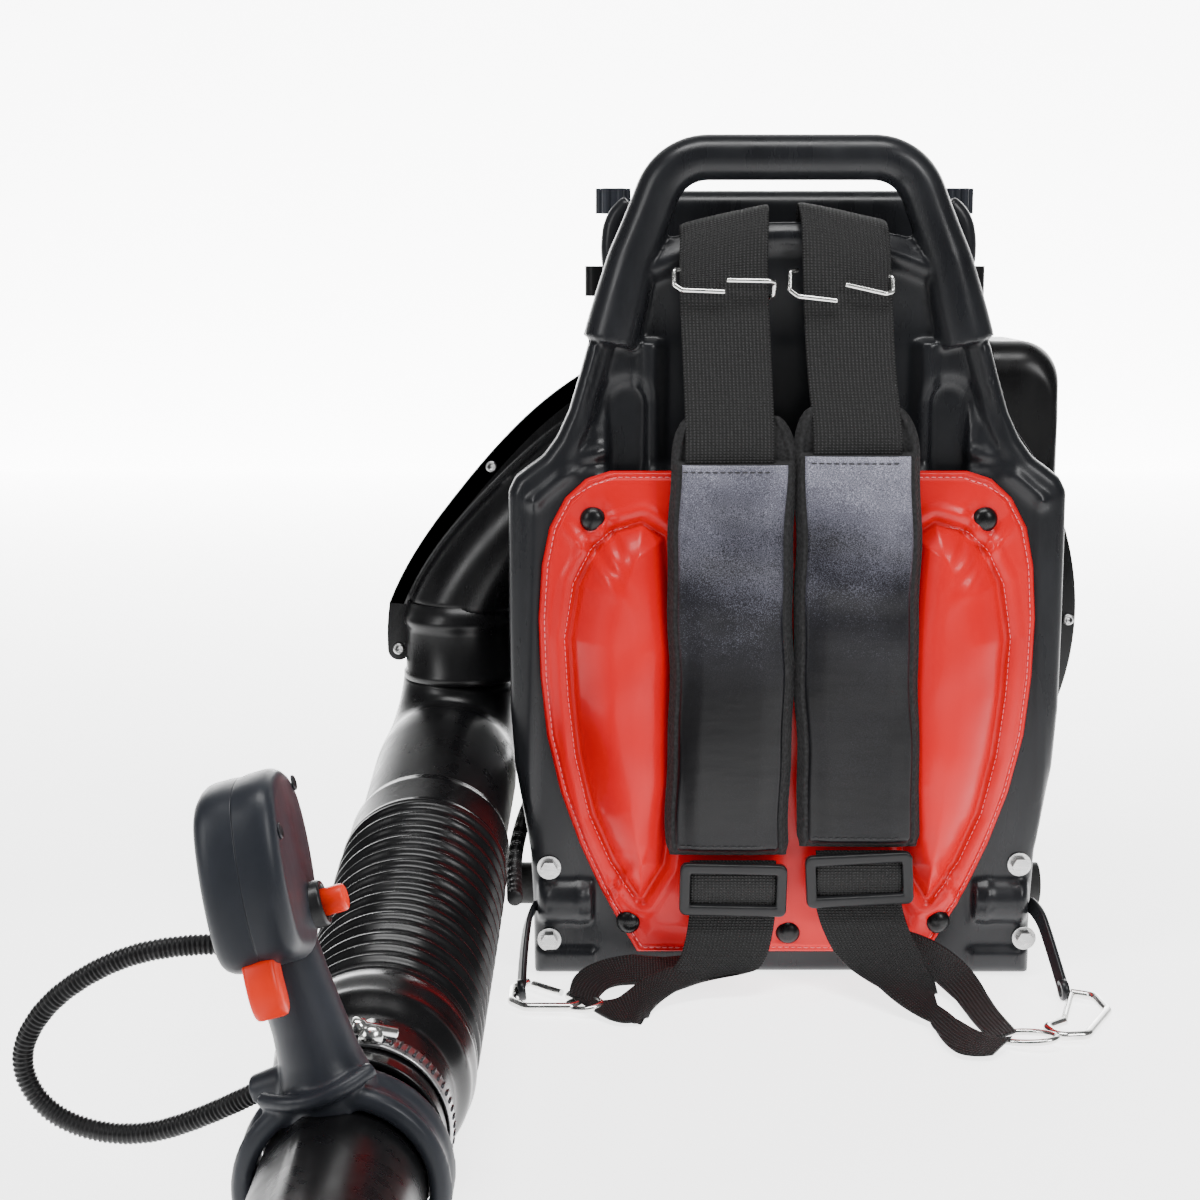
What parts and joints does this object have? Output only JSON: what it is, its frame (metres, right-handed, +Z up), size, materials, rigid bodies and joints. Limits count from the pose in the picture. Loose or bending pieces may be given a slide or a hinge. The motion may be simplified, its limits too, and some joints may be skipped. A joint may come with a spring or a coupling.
{
  "type": "backpack leaf blower",
  "caption": "Petrol backpack leaf blower: back frame with red pad and shoulder straps, fan scroll, engine, swivelling elbow, corrugated hose and blow tube with a throttle grip.",
  "frame": {"origin": "centre of the underside of the base", "axes": "+Z up; the wearer's back is at -Y and the blow tube runs along -Y; +X is the wearer's left"},
  "size_m": [0.54, 1.3705, 0.4939],
  "materials": {
    "frame_plastic": "satin moulded black plastic",
    "engine_plastic": "semi-gloss moulded black plastic",
    "tube_plastic": "blow-moulded black plastic",
    "hose": "corrugated flexible black plastic",
    "red_vinyl": "glossy red vinyl with a stitched edge",
    "rivet": "black plastic",
    "strap_padding": "padded black mesh with a satin panel",
    "webbing": "woven black webbing",
    "buckle": "black acetal",
    "chrome_wire": "bright nickel plate",
    "painted_steel": "black painted steel",
    "zinc": "zinc plated steel",
    "rubber": "moulded rubber",
    "steel": "machined steel",
    "cast_alloy": "cast aluminium",
    "plug": "plated steel and ceramic",
    "filter_media": "pleated paper",
    "tank": "translucent natural polyethylene",
    "grip_plastic": "fine textured black plastic",
    "orange": "orange-red plastic",
    "loom": "corrugated black loom"
  },
  "bodies": {
    "root": {"air_filter_base": "engine_plastic", "air_filter_element": "filter_media", "back_frame": "frame_plastic", "back_pad": "red_vinyl", "base_tray": "frame_plastic", "buckles": "buckle", "carburetor": "cast_alloy", "clamp_bolts": "zinc", "clamp_caps": "frame_plastic", "crank_bearings": "steel", "crankcase": "cast_alloy", "cylinder": "cast_alloy", "fuel_tank": "tank", "hook_brackets": "painted_steel", "intake_duct": "rubber", "lower_webbing": "webbing", "mount_bar": "painted_steel", "mount_bushes": "rubber", "muffler": "steel", "muffler_guard": "engine_plastic", "pad_rivets": "rivet", "plug_boot": "rubber", "recoil_housing": "engine_plastic", "snap_hooks": "chrome_wire", "spark_plug": "plug", "strap_pads": "strap_padding", "throttle_loom_engine_run": "loom", "upper_webbing": "webbing", "volute_front": "engine_plastic", "volute_rear": "engine_plastic", "volute_screws": "zinc", "wire_keepers": "chrome_wire"},
    "elbow": {"elbow_pipe": "tube_plastic", "flex_hose": "hose"},
    "blow_tube": {"control_tube": "tube_plastic", "hose_clamp": "zinc", "straight_tube": "tube_plastic", "handle_clamp": "tube_plastic", "grip_shell_left": "grip_plastic", "grip_shell_right": "grip_plastic", "stop_switch": "rivet", "throttle_loom_loop": "loom"},
    "nozzle": {"nozzle": "tube_plastic"},
    "trigger": {"trigger": "orange"},
    "stop_button": {"stop_button": "orange"},
    "rotor": {"crankshaft": "steel", "impeller": "cast_alloy", "impeller_nut": "zinc", "flywheel": "cast_alloy"},
    "piston": {"piston": "cast_alloy"},
    "recoil_pulley": {"recoil_pulley": "engine_plastic"},
    "recoil_grip": {"recoil_grip": "engine_plastic", "recoil_rope": "webbing"},
    "filter_cover": {"air_filter_cover": "engine_plastic"},
    "knob_left": {"filter_knob_left": "rivet"},
    "knob_right": {"filter_knob_right": "rivet"},
    "fuel_cap": {"fuel_cap": "rivet"},
    "choke": {"choke_lever": "orange"},
    "gate_left": {"snap_gate_left": "chrome_wire"},
    "gate_right": {"snap_gate_right": "chrome_wire"}
  },
  "joints": [
    {"name": "elbow_swivel", "type": "hinge", "parent": "root", "child": "elbow", "pos_m": [-0.198, -0.04, 0.165], "axis": [0, 0, -1], "range_deg": [0, 60], "deforming": ["throttle_loom_engine_run"]},
    {"name": "hose_bend", "type": "hinge", "parent": "elbow", "child": "blow_tube", "pos_m": [-0.209, -0.3, 0.058], "axis": [-1, 0, 0], "range_deg": [0, 40], "deforming": ["flex_hose"]},
    {"name": "nozzle_twist", "type": "hinge", "parent": "blow_tube", "child": "nozzle", "pos_m": [-0.21725, -1.1299, 0.03806], "axis": [-0.0075, -0.9998, -0.0156], "range_deg": [0, 30]},
    {"name": "trigger_pull", "type": "hinge", "parent": "blow_tube", "child": "trigger", "pos_m": [-0.24463, -0.53266, 0.15923], "axis": [0.9613, 0, 0.2756], "range_deg": [-16, 0], "stiffness_Nm_per_rad": 0.08},
    {"name": "stop_press", "type": "slide", "parent": "blow_tube", "child": "stop_button", "axis": [-0.9613, 0, -0.2756], "range_m": [0, 0.003], "stiffness_N_per_m": 300},
    {"name": "rotor_spin", "type": "hinge", "parent": "root", "child": "rotor", "pos_m": [0, 0, 0.195], "axis": [0, 1, 0], "continuous": true},
    {"name": "piston_stroke", "type": "slide", "parent": "root", "child": "piston", "axis": [0.6428, 0, 0.766], "range_m": [-0.035, 0]},
    {"name": "recoil_pull", "type": "slide", "parent": "root", "child": "recoil_grip", "axis": [-1, 0, 0], "range_m": [0, 0.6], "deforming": ["recoil_rope"]},
    {"name": "recoil_wind", "type": "hinge", "parent": "root", "child": "recoil_pulley", "pos_m": [0, 0.128, 0.195], "axis": [0, -1, 0], "range_deg": [0, 1140]},
    {"name": "cover_lift", "type": "slide", "parent": "root", "child": "filter_cover", "axis": [0, 0, 1], "range_m": [0, 0.05]},
    {"name": "knob_left_turn", "type": "hinge", "parent": "filter_cover", "child": "knob_left", "pos_m": [-0.1, -0.02, 0.455], "axis": [0, 0, 1], "continuous": true},
    {"name": "knob_right_turn", "type": "hinge", "parent": "filter_cover", "child": "knob_right", "pos_m": [0.108, -0.02, 0.455], "axis": [0, 0, 1], "continuous": true},
    {"name": "fuel_cap_turn", "type": "hinge", "parent": "root", "child": "fuel_cap", "pos_m": [0.092, 0.084, 0.125], "axis": [0, 0, 1], "continuous": true},
    {"name": "choke_turn", "type": "hinge", "parent": "root", "child": "choke", "pos_m": [0.01093, 0.067, 0.32159], "axis": [0, 1, 0], "range_deg": [0, 60]},
    {"name": "gate_left_open", "type": "hinge", "parent": "root", "child": "gate_left", "pos_m": [-0.126, -0.17, 0.005], "axis": [0, 0, 1], "range_deg": [0, 25], "stiffness_Nm_per_rad": 0.01},
    {"name": "gate_right_open", "type": "hinge", "parent": "root", "child": "gate_right", "pos_m": [0.148, -0.212, 0.005], "axis": [0, 0, -1], "range_deg": [0, 10], "stiffness_Nm_per_rad": 0.01}
  ],
  "couplings": [
    {"joint": "recoil_wind", "follows": "recoil_pull", "rad_per_m": 32.895}
  ]
}
